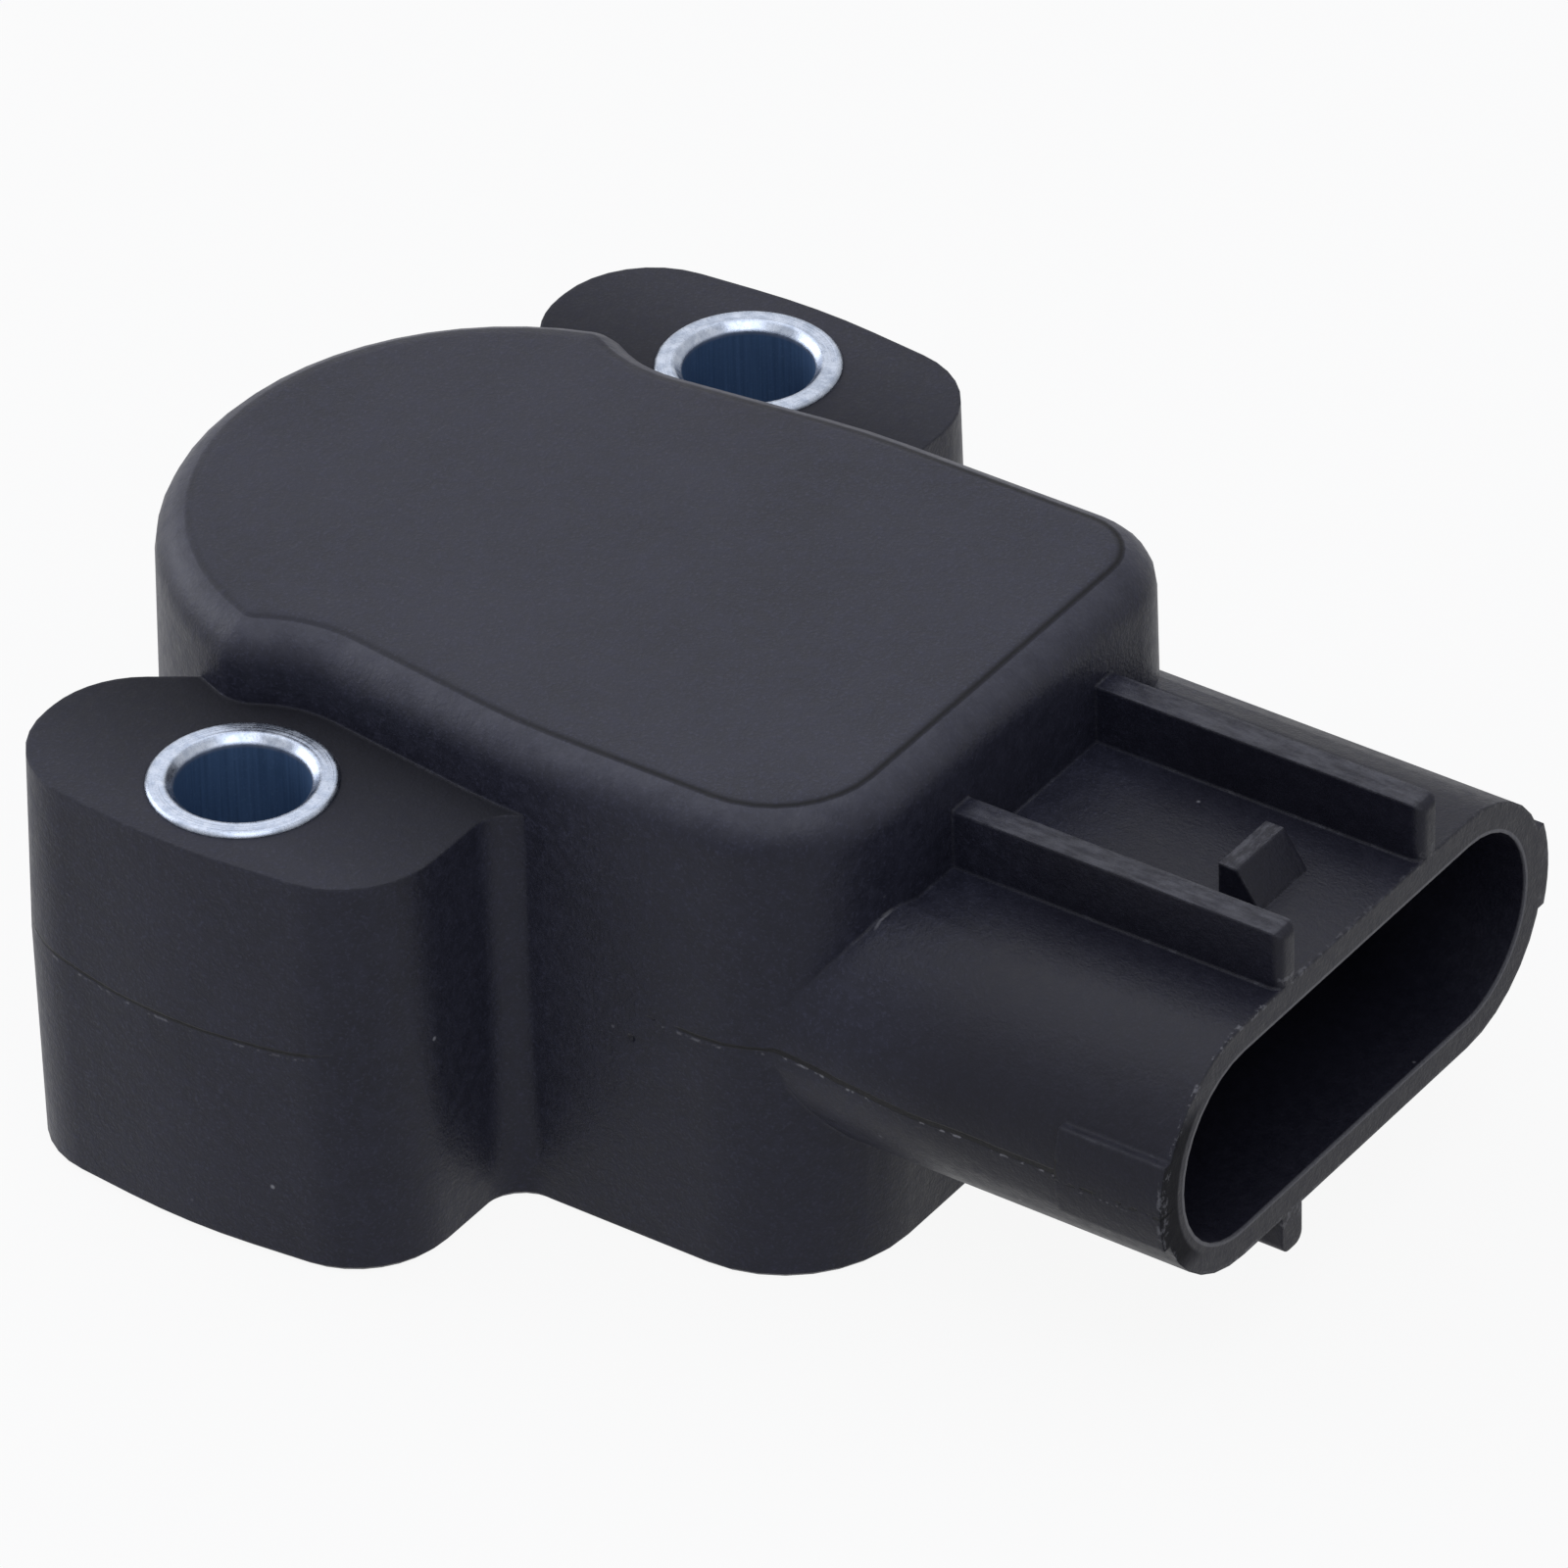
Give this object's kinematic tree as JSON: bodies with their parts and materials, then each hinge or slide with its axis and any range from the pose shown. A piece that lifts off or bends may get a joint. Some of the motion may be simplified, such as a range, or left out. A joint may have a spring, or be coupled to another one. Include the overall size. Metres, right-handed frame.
{
  "type": "throttle position sensor",
  "caption": "Moulded throttle position sensor: low body with two bushed mounting ears, an oval latching connector shroud and a sprung rotor driven from the mounting face.",
  "frame": {"origin": "midpoint between the two mounting holes on the mounting face, which is also the rotor axis", "axes": "+X toward the connector mouth, +Y from the near ear to the far ear, +Z from the mounting face to the crown"},
  "size_m": [0.0557, 0.0468, 0.0229],
  "materials": {
    "housing_pbt": "fine spark-eroded matte, moulded",
    "zinc_steel": "bright zinc plate with a faint blue passivation",
    "cover_pbt": "matte moulded",
    "seal_rubber": "smooth nitrile rubber",
    "rotor_plastic": "natural glass-filled plastic",
    "bright_steel": "bright stamped steel",
    "spring_steel": "drawn spring wire",
    "contact_bronze": "phosphor bronze sheet",
    "board_ceramic": "cream element board",
    "carbon_ink": "printed carbon ink",
    "silver_ink": "printed silver ink",
    "tinned_brass": "tin-plated, satin"
  },
  "bodies": {
    "housing": {"housing": "housing_pbt", "limiter_near": "zinc_steel", "limiter_far": "zinc_steel", "base_cover": "cover_pbt", "face_seal": "seal_rubber", "thrust_washer": "bright_steel", "return_spring": "spring_steel", "element_board": "board_ceramic", "resistor_track": "carbon_ink", "collector_track": "silver_ink", "lead_traces": "silver_ink", "terminal_1": "tinned_brass", "terminal_2": "tinned_brass", "terminal_3": "tinned_brass"},
    "rotor": {"rotor": "rotor_plastic", "wiper": "contact_bronze"}
  },
  "joints": [
    {"name": "rotor_turn", "type": "hinge", "parent": "housing", "child": "rotor", "pos_m": [0, 0, 0], "axis": [0, 0, 1], "range_deg": [0, 100], "stiffness_Nm_per_rad": 0.006, "springref_deg": -34.38}
  ]
}
